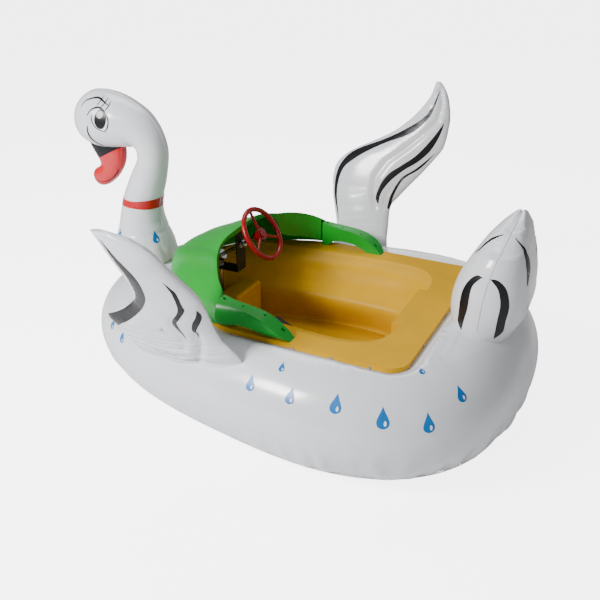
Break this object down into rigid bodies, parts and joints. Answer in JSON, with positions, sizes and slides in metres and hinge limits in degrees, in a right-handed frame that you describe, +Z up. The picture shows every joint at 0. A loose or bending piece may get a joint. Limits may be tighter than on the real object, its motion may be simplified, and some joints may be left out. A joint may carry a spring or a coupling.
{
  "type": "inflatable bumper boat",
  "caption": "Swan-shaped bumper boat: inflated ring hull with neck, wings and tail round a rigid cockpit tub, and a steering wheel geared to a turning drive leg with a guarded propeller.",
  "frame": {"origin": "middle of the bounding box on the ground plane, under the cockpit", "axes": "+X to the bow and the swan's head, +Y to port, +Z up"},
  "size_m": [2.0442, 1.6855, 1.1427],
  "materials": {
    "white_pvc": "glossy inflatable PVC",
    "red_pvc": "glossy",
    "yellow_plastic": "glossy moulded",
    "green_plastic": "glossy moulded",
    "red_plastic": "glossy moulded",
    "black_plastic": "matt",
    "nylon": "matt",
    "steel": "satin",
    "aluminium": "satin",
    "brass": "satin",
    "black_rubber": "matt",
    "webbing": "woven"
  },
  "bodies": {
    "hull": {"hull_tube": "white_pvc", "swan_neck": "white_pvc", "port_wing": "white_pvc", "starboard_wing": "white_pvc", "tail_plume": "white_pvc", "beak": "red_pvc", "tub": "yellow_plastic", "battery_cover": "yellow_plastic", "steering_console": "green_plastic", "motor_controller": "black_plastic", "pedal_base": "black_plastic", "pedal_switch": "black_plastic", "battery": "black_plastic", "shaft_bush": "nylon", "leg_top_bush": "nylon", "leg_bushes": "nylon", "valve_caps": "nylon", "air_valves": "nylon", "rim_screws": "steel", "console_screws": "steel", "steering_bracket": "steel", "housing_bolts": "steel", "cover_screws": "steel", "pedal_pin": "steel", "pedal_spring": "steel", "leg_housing": "aluminium", "battery_posts": "brass", "leg_seal": "black_rubber", "drain_plug": "black_rubber", "battery_strap": "webbing"},
    "steering": {"steering_wheel": "red_plastic", "wheel_cap": "red_plastic", "wheel_shaft": "steel", "shaft_collar": "steel", "wheel_gear": "steel"},
    "drive_leg": {"leg_gear": "steel", "leg_shaft": "aluminium", "motor_pod": "aluminium", "pod_nose": "black_plastic", "prop_guard": "black_plastic", "skeg": "black_plastic"},
    "screw": {"propeller": "black_plastic", "prop_shaft": "steel", "prop_nut": "steel"},
    "pedal": {"foot_pedal": "black_plastic"}
  },
  "joints": [
    {"name": "leg_turn", "type": "hinge", "parent": "hull", "child": "drive_leg", "pos_m": [0.336, 0, 0.3], "axis": [0, 0, 1], "range_deg": [-170, 170]},
    {"name": "wheel_turn", "type": "hinge", "parent": "hull", "child": "steering", "pos_m": [0.121, 0, 0.623], "axis": [-0.8387, 0, 0.5446], "range_deg": [-170, 170]},
    {"name": "prop_spin", "type": "hinge", "parent": "drive_leg", "child": "screw", "pos_m": [0.29, 0, 0.078], "axis": [1, 0, 0], "continuous": true},
    {"name": "pedal_press", "type": "hinge", "parent": "hull", "child": "pedal", "pos_m": [-0.014, 0, 0.183], "axis": [0, 1, 0], "range_deg": [0, 17], "stiffness_Nm_per_rad": 3, "springref_deg": -14.32, "deforming": ["pedal_spring"]}
  ],
  "couplings": [
    {"joint": "wheel_turn", "follows": "leg_turn", "ratio": 1}
  ]
}
